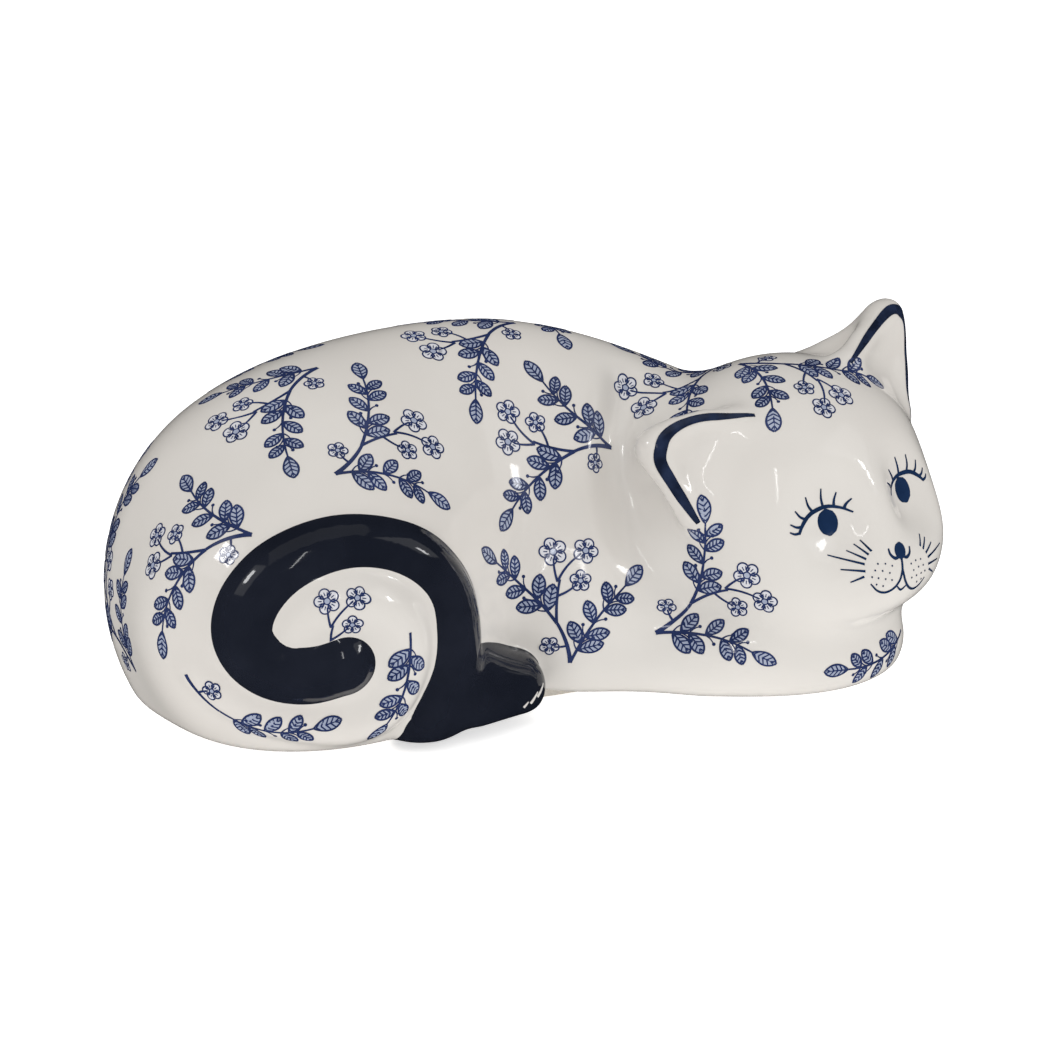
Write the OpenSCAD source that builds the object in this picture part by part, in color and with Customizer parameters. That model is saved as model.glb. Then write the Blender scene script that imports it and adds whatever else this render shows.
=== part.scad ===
// Glazed ceramic cat, lying curled with its head turned to its right and its tail coiled on the haunch.
// The body is slip-cast in hollow pieces that are joined with slip, and it stands on four felt pads.
// Origin: centre of the figure's footprint, on the surface it stands on.
// +X runs from the rump to the head, -Y is the cat's right side, +Z is up. Millimetres.

/* [Figure] */
// Length of the whole figure from rump to foreleg
figure_l = 324; // [300:2:350]
// Wall of the hollow cast pieces
wall = 5; // [4:0.5:6]
// Radius that rounds the casting where it meets its flat foot
foot_round = 7; // [5:0.5:9]

/* [Head] */
// Turn of the face from straight ahead towards the cat's right, in degrees
head_turn = 68; // [64:1:72]
// Upward tilt of the face, in degrees
head_nod = 10.5; // [8:0.5:13]
// Roll of the head that lifts its left side, in degrees
head_roll = 6.5; // [4:0.5:9]
// Radius of the ear's rolled rim
ear_rim = 4; // [3:0.25:5]

/* [Tail, thigh and paw] */
// Radius of the tail
tail_r = 11.5; // [10.5:0.25:12.5]
// Radius of the rolled thigh
thigh_r = 10; // [9:0.25:11]
// Radius of the hind paw
paw_r = 12.5; // [11.5:0.25:13.5]

/* [Base] */
// Thickness of the base plate
base_t = 5; // [4:0.5:6]
// Diameter of the vent hole that lets the kiln air out of the body
vent_d = 10; // [6:0.5:14]
// Diameter of each felt pad
pad_d = 14; // [10:1:18]
// Thickness of each felt pad
pad_t = 1.5; // [1:0.25:2.5]
// Gap of the slip seam around the base plate
seam = 0.2; // [0.1:0.05:0.4]

/* [Hidden] */
k = figure_l / 324;
foot_z = pad_t;
air_r = 6;

// The masses that blend into the body: centre and half sizes, with the foot of the casting at z = 0
rump_c = k * [-81, 10, 45];
rump_r = k * [81, 76, 84];
back_c = k * [-12, 29, 79];
back_r = k * [76, 42, 58];
chest_c = k * [57, 15, 43];
chest_r = k * [73, 52, 68];
haunch_c = k * [-98, -34, 47];
haunch_r = k * [60, 48, 54];
shoulder_c = k * [26, -22, 34];
shoulder_r = k * [44, 27, 36];
// The furrow that runs down behind the right ear, between the head and the shoulder
furrow = k * [[42, -2, 116], [36, -16, 103], [31, -26, 88], [29, -42, 70], [36, -56, 48]];
furrow_r = k * [2, 5, 7, 7, 4];

// Forelegs
right_leg_c = k * [83, -34, 18];
right_leg_r = k * [59.5, 35.5, 23.5];
left_leg_c = k * [104, -11, 9.5];
left_leg_r = k * [45, 51.5, 22];

// Head: its own frame has the face forward, the cat's left sideways and the crown up
head_c = k * [102.6, -19, 64.6];
face_dir = [cos(head_turn) * cos(head_nod), -sin(head_turn) * cos(head_nod), sin(head_nod)];
level_dir = [sin(head_turn), cos(head_turn), 0];
side_dir = level_dir * cos(head_roll) + cross(face_dir, level_dir) * sin(head_roll);
crown_dir = cross(face_dir, side_dir);
skull_c = k * [-4, 0, 8.5];
skull_r = k * [53.5, 63, 51];
cheek_c = k * [12, 20.5, -19];
cheek_r = k * [39.5, 29.5, 28.5];
muzzle_c = k * [44, 0, -22];
muzzle_r = k * [17, 21, 13];
socket_c = k * [59, 23, 4];
socket_r = k * [13, 17, 18];

// Ears in the head's frame: inner root, outer root, tip and the heel that runs back onto the skull
right_ear_pts = k * [[19.5, -33.5, 44], [15.5, -61.5, 17], [8, -72, 43], [-18, -40, 34]];
left_ear_pts = k * [[18, 31.5, 51], [15, 59, 22.5], [5, 70, 62], [-22, 38, 38]];
heel_r = 16 * k;

// Centrelines, with the foot of the casting at z = 0
tail_pts = k * [[-56, -50, 4], [-54, -57, 18], [-50, -60, 34], [-51, -61, 49], [-54, -61, 61], [-63, -62, 71],
    [-75, -63, 77], [-90, -64, 80], [-103, -65, 79], [-116, -66, 73], [-125, -67, 64], [-128, -68, 55],
    [-125, -70, 47], [-117, -72, 42], [-107, -75, 41], [-94, -76, 43]];
thigh_pts = k * [[-113, -74, 55], [-106, -74, 61], [-96, -74, 64], [-84, -74, 61], [-75, -73, 53],
    [-72, -72, 43], [-74, -71, 31], [-80, -69, 21], [-91, -68, 17], [-106, -69, 19], [-121, -67, 23],
    [-133, -62, 30], [-142, -56, 38]];
paw_pts = k * [[-60, -56, 13], [-38, -53, 13], [-15, -43, 11.5]];

// Base plate and pads
base_c = k * [-22, 8];
base_half = k * [98, 36];
pad_places = k * [[-105, 38], [-100, -38], [100, 26], [92, -40]];

white = [0.86, 0.85, 0.83];
navy = [0.08, 0.10, 0.17];
felt = [0.30, 0.30, 0.32];

// Distances to simple shapes: negative inside
function over(p, r) = [p.x / r.x, p.y / r.y, p.z / r.z];
function egg(p, c, r) =
    let(q = p - c, near = norm(over(q, r)), far = norm(over(over(q, r), r)))
    far == 0 ? -min(r) : near * (near - 1) / far;
function rod(p, a, b, ra, rb) =
    let(ab = b - a, t = max(0, min(1, (p - a) * ab / (ab * ab))))
    norm(p - a - t * ab) - ra - (rb - ra) * t;
function blend(a, b, r) = let(h = max(r - abs(a - b), 0) / r) min(a, b) - h * h * r / 4;
function carve(a, b, r) = -blend(-a, b, r);
function chain(p, pts, radii, i = 0) =
    i == len(pts) - 2 ? rod(p, pts[i], pts[i + 1], radii[i], radii[i + 1])
    : min(rod(p, pts[i], pts[i + 1], radii[i], radii[i + 1]), chain(p, pts, radii, i + 1));

// Points between the head's frame and the figure's
function in_head(p) = let(q = p - head_c) [q * face_dir, q * side_dir, q * crown_dir];
function from_head(v) = head_c + v.x * face_dir + v.y * side_dir + v.z * crown_dir;
function mirrored(v) = [v.x, -v.y, v.z];

// Distances to the body's pieces, before their foot is cut flat
function trunk(p) = blend(
    blend(blend(egg(p, rump_c, rump_r), egg(p, back_c, back_r), 40 * k), egg(p, chest_c, chest_r), 40 * k),
    blend(egg(p, haunch_c, haunch_r), egg(p, shoulder_c, shoulder_r), 20 * k), 20 * k);
function torso_at(p) = carve(trunk(p), chain(p, furrow, furrow_r), 14 * k);
function cheeks(q) = blend(egg(q, cheek_c, cheek_r), egg(q, mirrored(cheek_c), cheek_r), 14 * k);
function skull_at(p) = let(q = in_head(p)) blend(cheeks(q), egg(q, skull_c, skull_r), 20 * k);
function head_at(p) =
    let(
        q = in_head(p),
        left_eye = carve(skull_at(p), egg(q, socket_c, socket_r), 10 * k),
        both_eyes = carve(left_eye, egg(q, mirrored(socket_c), socket_r), 10 * k))
    blend(both_eyes, egg(q, muzzle_c, muzzle_r), 10 * k);
function right_leg_at(p) = egg(p, right_leg_c, right_leg_r);
function left_leg_at(p) = egg(p, left_leg_c, left_leg_r);
function on_foot(d, p, z, r) = -blend(-d, p.z - z, r);

// Distance from a centre to a piece's surface, and the closed skin that it gives all round
function reach(f, c, dir, lo, hi, steps) =
    let(mid = (lo + hi) / 2)
    steps == 0 ? mid
    : f(c + mid * dir) < 0 ? reach(f, c, dir, mid, hi, steps - 1)
    : reach(f, c, dir, lo, mid, steps - 1);
function aim(turn, rise, stretch) =
    let(v = [cos(turn) * cos(rise) * stretch, sin(turn) * cos(rise), sin(rise)]) v / norm(v);
function skin_points(f, c, around, rows, stretch) = [
    for (row = [0 : rows], i = [0 : (row == 0 || row == rows ? 0 : around - 1)])
        let(dir = aim(360 * i / around, -90 + 180 * row / rows, stretch)) c + reach(f, c, dir, 0, 260 * k, 15) * dir];
function ring_at(row, i, around) = 1 + (row - 1) * around + i % around;
function skin_faces(around, rows) =
    let(top = 1 + (rows - 1) * around)
    [
        for (i = [0 : around - 1]) [0, ring_at(1, i, around), ring_at(1, i + 1, around)],
        for (row = [1 : rows - 2], i = [0 : around - 1])
            [ring_at(row, i, around), ring_at(row + 1, i, around), ring_at(row + 1, i + 1, around)],
        for (row = [1 : rows - 2], i = [0 : around - 1])
            [ring_at(row, i, around), ring_at(row + 1, i + 1, around), ring_at(row, i + 1, around)],
        for (i = [0 : around - 1]) [top, ring_at(rows - 1, i + 1, around), ring_at(rows - 1, i, around)]
    ];
module skin(f, c, around, rows, stretch = 1)
    translate([0, 0, foot_z])
        polyhedron(skin_points(f, c, around, rows, stretch), skin_faces(around, rows));

// A smooth run through hand-placed points, and a round bar with domed ends along it
function at_knot(pts, i) =
    i < 0 ? 2 * pts[0] - pts[1]
    : i >= len(pts) ? 2 * pts[len(pts) - 1] - pts[len(pts) - 2]
    : pts[i];
function between(a, b, c, d, t) =
    (2 * b + (c - a) * t + (2 * a - 5 * b + 4 * c - d) * t * t + (3 * b - a - 3 * c + d) * t * t * t) / 2;
function smooth_run(pts, n) = [
    for (i = [0 : len(pts) - 2], j = [0 : n - 1])
        between(at_knot(pts, i - 1), pts[i], pts[i + 1], at_knot(pts, i + 2), j / n),
    pts[len(pts) - 1]];
function heading(run, i) =
    let(v = run[min(i + 1, len(run) - 1)] - run[max(i - 1, 0)]) v / norm(v);
function bar_ring(at, dir, r, sides) =
    let(across = cross(dir, [0, 1, 0]), a = across / norm(across), b = cross(dir, a))
    [for (s = [0 : sides - 1]) at + r * (a * cos(360 * s / sides) + b * sin(360 * s / sides))];
function dome_rings(at, dir, r, sides, out) = [
    for (step = out > 0 ? [1 : 3] : [3 : -1 : 1])
        bar_ring(at + out * r * sin(25 * step) * dir, dir, r * cos(25 * step), sides)];
module bar(pts, r, sides, n) {
    run = smooth_run(pts, n);
    last = len(run) - 1;
    rings = concat(
        dome_rings(run[0], heading(run, 0), r, sides, -1),
        [for (i = [0 : last]) bar_ring(run[i], heading(run, i), r, sides)],
        dome_rings(run[last], heading(run, last), r, sides, 1));
    count = len(rings);
    faces = concat(
        [[for (s = [0 : sides - 1]) s]],
        [for (i = [0 : count - 2], s = [0 : sides - 1])
            [i * sides + s, (i + 1) * sides + s, (i + 1) * sides + (s + 1) % sides]],
        [for (i = [0 : count - 2], s = [0 : sides - 1])
            [i * sides + s, (i + 1) * sides + (s + 1) % sides, i * sides + (s + 1) % sides]],
        [[for (s = [sides - 1 : -1 : 0]) (count - 1) * sides + s]]);
    translate([0, 0, foot_z])
        polyhedron([for (ring = rings) each ring], faces);
}

// Resizing by nothing keeps each joined casting as one fine mesh
module one_casting()
    resize([0, 0, 0]) children();

// Outer skins and cavities
module torso_skin()
    skin(function (p) on_foot(torso_at(p), p, 0, foot_round), k * [-15, 10, 50], 72, 34, 1.6);
module torso_cavity()
    skin(function (p) max(torso_at(p) + wall, base_t - p.z), k * [-15, 10, 50], 40, 20, 1.6);
module head_skin()
    skin(function (p) head_at(p), head_c, 52, 28);
module head_cavity()
    skin(function (p) skull_at(p) + wall + 2, head_c, 28, 16);
module right_leg_skin()
    skin(function (p) on_foot(right_leg_at(p), p, 0, foot_round), right_leg_c, 40, 20, 1.5);
module right_leg_cavity()
    skin(function (p) max(right_leg_at(p) + wall, base_t - p.z), right_leg_c, 24, 12, 1.5);
module left_leg_skin()
    skin(function (p) on_foot(left_leg_at(p), p, 0, foot_round), left_leg_c, 40, 20, 0.9);
module left_leg_cavity()
    skin(function (p) max(left_leg_at(p) + wall, base_t - p.z), left_leg_c, 24, 12, 0.9);
module below_foot()
    translate([-200, -200, foot_z - 100] * k) cube([400, 400, 100] * k);
module air_hole(from, to) {
    reach_v = to - from;
    translate([0, 0, foot_z] + from)
        rotate([0, acos(reach_v.z / norm(reach_v)), atan2(reach_v.y, reach_v.x)])
            cylinder(h = norm(reach_v), r = air_r, $fn = 16);
}
module ear_lump(pts)
    translate([0, 0, foot_z])
        hull() {
            for (i = [0 : 2])
                translate(from_head(pts[i] - k * [2, 0, 0])) sphere(r = ear_rim, $fn = 20);
            translate(from_head(pts[3])) sphere(r = heel_r, $fn = 28);
        }
module base_outline(grow)
    translate(base_c)
        polygon([for (a = [0 : 7.5 : 359]) [(base_half.x + grow) * cos(a), (base_half.y + grow) * sin(a)]]);

// Sub-parts
module torso()
    color(white) one_casting() difference() {
        torso_skin();
        torso_cavity();
        translate([0, 0, foot_z - 1]) linear_extrude(base_t + 2) base_outline(seam);
        air_hole(k * [40, 4, 60], head_c);
        air_hole(k * [40, 4, 30], right_leg_c);
        air_hole(k * [60, 10, 20], left_leg_c);
    }
module base_plate()
    color(white) difference() {
        translate([0, 0, foot_z]) linear_extrude(base_t) base_outline(0);
        translate([base_c.x, base_c.y, foot_z - 1]) cylinder(h = base_t + 2, d = vent_d, $fn = 48);
    }
module head()
    color(white) one_casting() difference() {
        head_skin();
        head_cavity();
        torso_skin();
        right_leg_skin();
        left_leg_skin();
    }
module ear(pts)
    color(white) one_casting() difference() {
        ear_lump(pts);
        head_skin();
        torso_skin();
    }
module right_foreleg()
    color(white) one_casting() difference() {
        right_leg_skin();
        right_leg_cavity();
        torso_skin();
    }
module left_foreleg()
    color(white) one_casting() difference() {
        left_leg_skin();
        left_leg_cavity();
        torso_skin();
        right_leg_skin();
    }
module tail_bar()
    bar(tail_pts, tail_r, 16, 4);
module thigh_bar()
    bar(thigh_pts, thigh_r, 14, 3);
module tail()
    color(navy) one_casting() difference() {
        tail_bar();
        torso_skin();
        below_foot();
    }
module thigh()
    color(white) one_casting() difference() {
        thigh_bar();
        tail_bar();
        torso_skin();
        below_foot();
    }
module hind_paw()
    color(navy) one_casting() difference() {
        bar(paw_pts, paw_r, 20, 4);
        tail_bar();
        thigh_bar();
        torso_skin();
        below_foot();
    }
module pad(place)
    color(felt) translate([place.x, place.y, 0]) cylinder(h = pad_t, d = pad_d, $fn = 40);

torso();
base_plate();
head();
ear(left_ear_pts);  // left_ear
ear(right_ear_pts);  // right_ear
left_foreleg();
right_foreleg();
thigh();
hind_paw();
tail();
pad(pad_places[0]);  // pad_rear_left
pad(pad_places[1]);  // pad_rear_right
pad(pad_places[2]);  // pad_front_left
pad(pad_places[3]);  // pad_front_right
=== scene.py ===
"""A glazed pottery cat, curled with its head turned aside, white with blue sprigs and a navy tail."""
import math

import bpy
import numpy as np
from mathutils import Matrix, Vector


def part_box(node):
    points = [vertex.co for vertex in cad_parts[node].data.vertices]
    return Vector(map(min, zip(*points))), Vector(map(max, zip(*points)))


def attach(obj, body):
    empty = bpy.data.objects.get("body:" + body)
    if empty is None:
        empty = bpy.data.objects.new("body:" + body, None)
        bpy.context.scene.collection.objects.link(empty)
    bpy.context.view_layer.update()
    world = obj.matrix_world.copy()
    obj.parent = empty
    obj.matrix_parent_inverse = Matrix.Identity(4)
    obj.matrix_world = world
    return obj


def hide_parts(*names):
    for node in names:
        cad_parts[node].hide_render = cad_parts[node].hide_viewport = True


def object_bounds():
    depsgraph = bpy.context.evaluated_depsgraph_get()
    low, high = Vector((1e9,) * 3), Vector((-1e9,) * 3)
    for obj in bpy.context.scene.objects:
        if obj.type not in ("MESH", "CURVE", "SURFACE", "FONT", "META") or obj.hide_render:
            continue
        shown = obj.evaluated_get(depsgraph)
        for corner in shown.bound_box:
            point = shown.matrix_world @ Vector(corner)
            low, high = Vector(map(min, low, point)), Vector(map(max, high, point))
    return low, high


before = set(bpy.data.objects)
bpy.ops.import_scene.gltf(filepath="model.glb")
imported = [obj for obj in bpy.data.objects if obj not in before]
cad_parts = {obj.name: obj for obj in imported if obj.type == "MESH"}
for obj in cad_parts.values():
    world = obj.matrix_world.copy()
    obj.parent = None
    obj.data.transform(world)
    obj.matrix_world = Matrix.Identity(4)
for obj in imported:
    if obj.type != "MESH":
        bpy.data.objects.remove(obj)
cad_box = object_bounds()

MM = 0.001
FINE = 1.5
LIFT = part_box("pad_rear_left")[1].z / MM


# ---------------------------------------------------------------- shape of the clay, in millimetres
# Distances are negative inside. Points are arrays of shape (n, 3), with the foot of the casting at z = 0.

def unit(v):
    v = np.asarray(v, float)
    return v / np.linalg.norm(v)


def egg(p, centre, half, axes=None):
    """Distance to an ellipsoid with the given half sizes."""
    q = p - np.asarray(centre, np.float32)
    if axes is not None:
        q = q @ np.asarray(axes, np.float32).T
    half = np.asarray(half, np.float32)
    near = np.sqrt(((q / half) ** 2).sum(1))
    far = np.sqrt(((q / half**2) ** 2).sum(1)) + 1e-9
    return near * (near - 1) / far


def rod(p, a, b, ra, rb):
    """Distance to a round bar from a to b whose radius goes from ra to rb."""
    a, b = np.asarray(a, np.float32), np.asarray(b, np.float32)
    ab = b - a
    t = np.clip(((p - a) @ ab) / (ab @ ab), 0, 1)
    return np.linalg.norm(p - a - t[:, None] * ab, axis=1) - ra - (rb - ra) * t


def blend(a, b, r):
    """Smooth union that rounds the joint over about r."""
    h = np.maximum(r - np.abs(a - b), 0) / r
    return np.minimum(a, b) - h * h * r / 4


def carve(a, b, r):
    """Smooth cut: what is in a and not in b."""
    return -blend(-a, b, r)


def triangle(p, a, b, c):
    """Distance to a flat triangle."""
    a, b, c = (np.asarray(v, np.float32) for v in (a, b, c))
    n = np.cross(b - a, c - a)
    inside = np.ones(len(p), bool)
    edge = np.full(len(p), np.inf, np.float32)
    for u, v in ((a, b), (b, c), (c, a)):
        e, q = v - u, p - u
        inside &= q @ np.cross(e, n) <= 0
        t = np.clip((q @ e) / (e @ e), 0, 1)
        edge = np.minimum(edge, ((q - t[:, None] * e) ** 2).sum(1))
    flat = ((p - a) @ n) ** 2 / (n @ n)
    return np.sqrt(np.where(inside, flat, edge))


def smooth_run(points, n):
    """Catmull-Rom curve through the points, n steps between each two."""
    c = np.asarray(points, float)
    c = np.vstack([2 * c[0] - c[1], c, 2 * c[-1] - c[-2]])
    t = (np.arange(n) / n)[:, None]
    spans = [
        (2 * c[i] + (c[i + 1] - c[i - 1]) * t
         + (2 * c[i - 1] - 5 * c[i] + 4 * c[i + 1] - c[i + 2]) * t**2
         + (3 * c[i] - c[i - 1] - 3 * c[i + 1] + c[i + 2]) * t**3) / 2
        for i in range(1, len(c) - 2)]
    return np.vstack(spans + [c[-2:-1]])


def bar(p, run, radii):
    """Distance to a bar along a run of points, with radii given at even stations along it."""
    r = np.interp(np.linspace(0, 1, len(run)), np.linspace(0, 1, len(radii)), radii)
    d = np.full(len(p), np.inf, np.float32)
    for i in range(len(run) - 1):
        d = np.minimum(d, rod(p, run[i], run[i + 1], r[i], r[i + 1]))
    return d


OUT_OF_REACH = 60.0


def near_box(p, low, high, fn):
    """fn(p) inside a box that holds the shape with room to spare, and a large distance outside it."""
    d = np.full(len(p), OUT_OF_REACH, np.float32)
    m = ((p > np.asarray(low)) & (p < np.asarray(high))).all(1)
    if m.any():
        d[m] = fn(p[m])
    return d


# The head's own frame: face forward, the cat's left sideways, crown up
HEAD_TURN, HEAD_NOD, HEAD_ROLL = (math.radians(a) for a in (68, 10.5, 6.5))
HEAD_AT = np.array([102.6, -19, 64.6])
FACE = np.array([math.cos(HEAD_TURN) * math.cos(HEAD_NOD), -math.sin(HEAD_TURN) * math.cos(HEAD_NOD),
                 math.sin(HEAD_NOD)])
LEVEL = np.array([math.sin(HEAD_TURN), math.cos(HEAD_TURN), 0])
SIDE = LEVEL * math.cos(HEAD_ROLL) + np.cross(FACE, LEVEL) * math.sin(HEAD_ROLL)
CROWN = np.cross(FACE, SIDE)
HEAD = np.array([FACE, SIDE, CROWN])


def from_head(v):
    return HEAD_AT + np.asarray(v, float) @ HEAD


def in_head(p):
    return ((p - HEAD_AT) @ HEAD.T).astype(np.float32)


# Ears in the head's frame: inner root, outer root, tip and heel
EARS = {
    "right": [(19.5, -33.5, 44), (15.5, -61.5, 17), (9, -67.5, 44.5), (-18, -40, 34)],
    "left": [(18, 31.5, 50), (14, 55.5, 24), (6, 69.5, 59), (-16, 40, 38)],
}
EAR_BOWS = {"right": (4.5, 1), "left": (1.5, 2.5)}
TAIL = smooth_run([
    (-58, -50, 2), (-56, -57, 18), (-52, -59, 34), (-52, -60, 48), (-55, -60, 60), (-63, -61, 70.5),
    (-75, -62, 77), (-90, -63, 80), (-104, -64, 78.5), (-117, -65, 73), (-126, -66, 64), (-129, -67, 54.5),
    (-126, -69, 46.5), (-118, -71, 41), (-107, -74, 39.5), (-96, -75, 41.5)], 7)
TAIL_RADII = (16, 14.8, 14, 12.6, 12.2, 12.2, 12.2, 12.2, 12.4, 12.4, 12.6)
THIGH = smooth_run([(-113, -74, 55), (-106, -74, 61), (-96, -74, 64), (-84, -74, 61), (-75, -73, 53),
                    (-72, -72, 43), (-74, -71, 31), (-80, -69, 21), (-91, -68, 17), (-106, -69, 19),
                    (-121, -67, 23), (-133, -62, 30), (-142, -56, 38)], 5)
PAW = [(-60, -56, 13), (-38, -53, 13), (-18.5, -45, 12)]
HOCK = [(-51, -53, 29.5), (-36, -49, 22), (-20, -44, 15)]
FURROW = [(42, -2, 116), (36, -16, 103), (31, -26, 88), (29, -42, 70), (36, -56, 48)]
BASE_AT, BASE_HALF = (-22, 8), (98, 36)


def trunk(p):
    rump = egg(p, (-81, 10, 45), (81, 76, 84))
    back = egg(p, (-12, 29, 79), (76, 42, 58))
    chest = egg(p, (57, 15, 43), (73, 52, 68))
    haunch = egg(p, (-98, -34, 47), (60, 48, 54))
    shoulder = egg(p, (26, -22, 34), (44, 27, 36))
    d = blend(blend(rump, back, 40), chest, 40)
    d = blend(d, blend(haunch, shoulder, 20), 20)
    furrow = near_box(p, (-10, -90, 20), (80, 40, 140), lambda q: bar(q, FURROW, (2, 4, 5, 5, 3)))
    return carve(d, furrow, 14)


def ear_edge(root, tip, middle, bow):
    """The bowed edge of an ear from its root to its tip, bulging away from the middle of the ear."""
    out = (root + tip) / 2 - middle
    out = out - (tip - root) * (out @ (tip - root)) / ((tip - root) @ (tip - root))
    out = unit(out) * bow
    low, high = root + (tip - root) * 0.35 + 0.9 * out, root + (tip - root) * 0.7 + 0.85 * out
    return smooth_run([root, low, high, tip], 2)


def ear_edges(name):
    inner, outer, tip = (np.array(v, float) for v in EARS[name][:3])
    middle = (inner + outer + tip) / 3
    bows = EAR_BOWS[name]
    return ear_edge(inner, tip, middle, bows[0]), ear_edge(outer, tip, middle, bows[1])


def ear(q, name):
    inside, outside = ear_edges(name)
    tip, heel = (np.array(v, float) for v in EARS[name][2:])
    back = np.array([-1.6, 0, 0])
    hub = (inside[0] + outside[0]) / 2 + back
    web = np.full(len(q), np.inf, np.float32)
    for edge in (inside, outside):
        for k in range(0, len(edge) - 1, 2):
            web = np.minimum(web, triangle(q, hub, edge[k] + back, edge[k + 2] + back))
    rim = np.minimum(bar(q, inside, (4.2, 3.5)), bar(q, outside, (4.2, 3.5)))
    spine = rod(q, heel, heel + (tip - heel) * 0.86 + back, 13.5, 3.6)
    return blend(blend(web - 3.2, rim, 5), spine, 15)


def skull(q):
    left, right = (egg(q, (12, side * 20.5, -19), (39.5, 29.5, 28.5)) for side in (1, -1))
    cheeks = blend(left, right, 14)
    d = blend(cheeks, egg(q, (-4, 0, 8.5), (53.5, 63, 51)), 20)
    for side in (-1, 1):
        d = carve(d, egg(q, (59, side * 23, 4), (12.4, 17, 18)), 14)
    d = blend(d, egg(q, (39.5, 0, -25), (18.5, 25.5, 16)), 12)
    return blend(d, egg(q, (36.5, 0, -4), (15.5, 9, 22)), 12)


def in_head_box(fn):
    return lambda p: near_box(p, (0, -130, -30), (200, 90, 190), lambda q: fn(in_head(q)))


def hind_foot(q):
    return blend(bar(q, PAW, (13, 12.5, 11.5)), bar(q, HOCK, (13, 12, 11)), 5)


THIGH_RADII = (7.5, 9.5, 10, 10, 9, 7)

# Each clay piece's own shape, before it is blended into its neighbours
CLAY = {
    "torso": trunk,
    "thigh": lambda p: near_box(p, (-190, -110, -20), (-30, -20, 100), lambda q: bar(q, THIGH, THIGH_RADII)),
    "tail": lambda p: near_box(p, (-170, -110, -20), (-10, -10, 120), lambda q: bar(q, TAIL, TAIL_RADII)),
    "hind_paw": lambda p: near_box(p, (-100, -100, -20), (30, 0, 60), hind_foot),
    "right_foreleg": lambda p: egg(p, (83, -34, 18), (59.5, 35.5, 23.5)),
    "left_foreleg": lambda p: egg(p, (104, -11, 9.5), (45, 51.5, 22)),
    "head": in_head_box(skull),
    "right_ear": in_head_box(lambda q: ear(q, "right")),
    "left_ear": in_head_box(lambda q: ear(q, "left")),
}


def base_pocket(p):
    """The shallow pocket under the body that the base plate fills."""
    q = (p[:, :2] - BASE_AT) / (np.array(BASE_HALF) + 0.4)
    across = (np.linalg.norm(q, axis=1) - 1) * min(BASE_HALF)
    return np.maximum(across, p[:, 2] - 5.2)


def clay(p, parts=None):
    """Distance to the whole figure, with every joint filled and smoothed."""
    parts = parts or {name: fn(p) for name, fn in CLAY.items()}
    d = blend(parts["torso"], parts["thigh"], 6)
    d = blend(d, parts["tail"], 3)
    d = blend(d, parts["hind_paw"], 4)
    legs = blend(parts["right_foreleg"], parts["left_foreleg"], 16)
    d = blend(d, legs, 14)
    head = blend(parts["head"], np.minimum(parts["right_ear"], parts["left_ear"]), 9)
    d = blend(d, head, 10)
    d = carve(d, p[:, 2], 7)
    return np.maximum(d, -base_pocket(p))


# ---------------------------------------------------------------- from distances to meshes
def slope(p, fn=None, step=0.2):
    """Outward unit normals of a distance function."""
    fn = fn or clay
    g = np.stack([fn(p + off) - fn(p - off) for off in np.eye(3, dtype=np.float32) * np.float32(step)], 1)
    return g / (np.linalg.norm(g, axis=1)[:, None] + 1e-9)


def settle(p, rounds=3):
    """Move points along the slope until they lie on the clay, and give their normals."""
    p = np.asarray(p, np.float32)
    for _ in range(rounds):
        p = p - slope(p) * np.clip(clay(p), -3, 3)[:, None]
    return p, slope(p)


def lattice(low, counts, spacing):
    ijk = np.stack(np.meshgrid(*[np.arange(c) for c in counts], indexing="ij"), -1).reshape(-1, 3)
    return (np.asarray(low) + ijk * spacing).astype(np.float32)


def sample(fn, low, high, fine, per=4):
    """fn on a fine lattice, worked out only in the coarse blocks that its surface may cross."""
    blocks = np.ceil((np.asarray(high) - low) / (fine * per)).astype(int)
    rough = fn(lattice(low, blocks + 1, fine * per)).reshape(blocks + 1)
    d = rough
    for ax in range(3):
        d = np.repeat(d, per, ax)
    d = d[: 1 - per, : 1 - per, : 1 - per].copy()
    corners = np.array([rough[i: blocks[0] + i, j: blocks[1] + j, k: blocks[2] + k]
                        for i in (0, 1) for j in (0, 1) for k in (0, 1)])
    reach = fine * per * 1.2
    live = np.argwhere((corners.min(0) < reach) & (corners.max(0) > -reach)) * per
    ijk = (live[:, None] + lattice((0, 0, 0), (per + 1,) * 3, 1).astype(int)[None]).reshape(-1, 3)
    flat = np.unique(np.ravel_multi_index(ijk.T, d.shape))
    ijk = np.stack(np.unravel_index(flat, d.shape), 1)
    d.reshape(-1)[flat] = fn((np.asarray(low) + ijk * fine).astype(np.float32))
    return d


def surface(fn, low, high, fine):
    """Quads over the zero level of fn: one vertex in each cell that the surface crosses."""
    d = sample(fn, low, high, fine)
    inside = d < 0
    cells = np.array(d.shape) - 1
    total = np.zeros((int(cells.prod()), 3))
    hits = np.zeros(int(cells.prod()))
    quads = []
    for ax in range(3):
        first = tuple(slice(None, -1) if a == ax else slice(None) for a in range(3))
        second = tuple(slice(1, None) if a == ax else slice(None) for a in range(3))
        cross = inside[first] != inside[second]
        edge = np.argwhere(cross)
        da, db = d[first][cross], d[second][cross]
        at = edge.astype(float)
        at[:, ax] += da / (da - db)
        others = [a for a in range(3) if a != ax]
        ring = []
        for back in ((0, 0), (1, 0), (1, 1), (0, 1)):
            cell = edge.copy()
            cell[:, others] -= back
            index = np.ravel_multi_index(cell.T, cells)
            for a in range(3):
                total[:, a] += np.bincount(index, at[:, a], len(total))
            hits += np.bincount(index, minlength=len(hits))
            ring.append(index)
        quads.append(np.stack(ring, 1))
    used, quads = np.unique(np.vstack(quads), return_inverse=True)
    return np.asarray(low) + total[used] / hits[used][:, None] * fine, quads.reshape(-1, 4)


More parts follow.
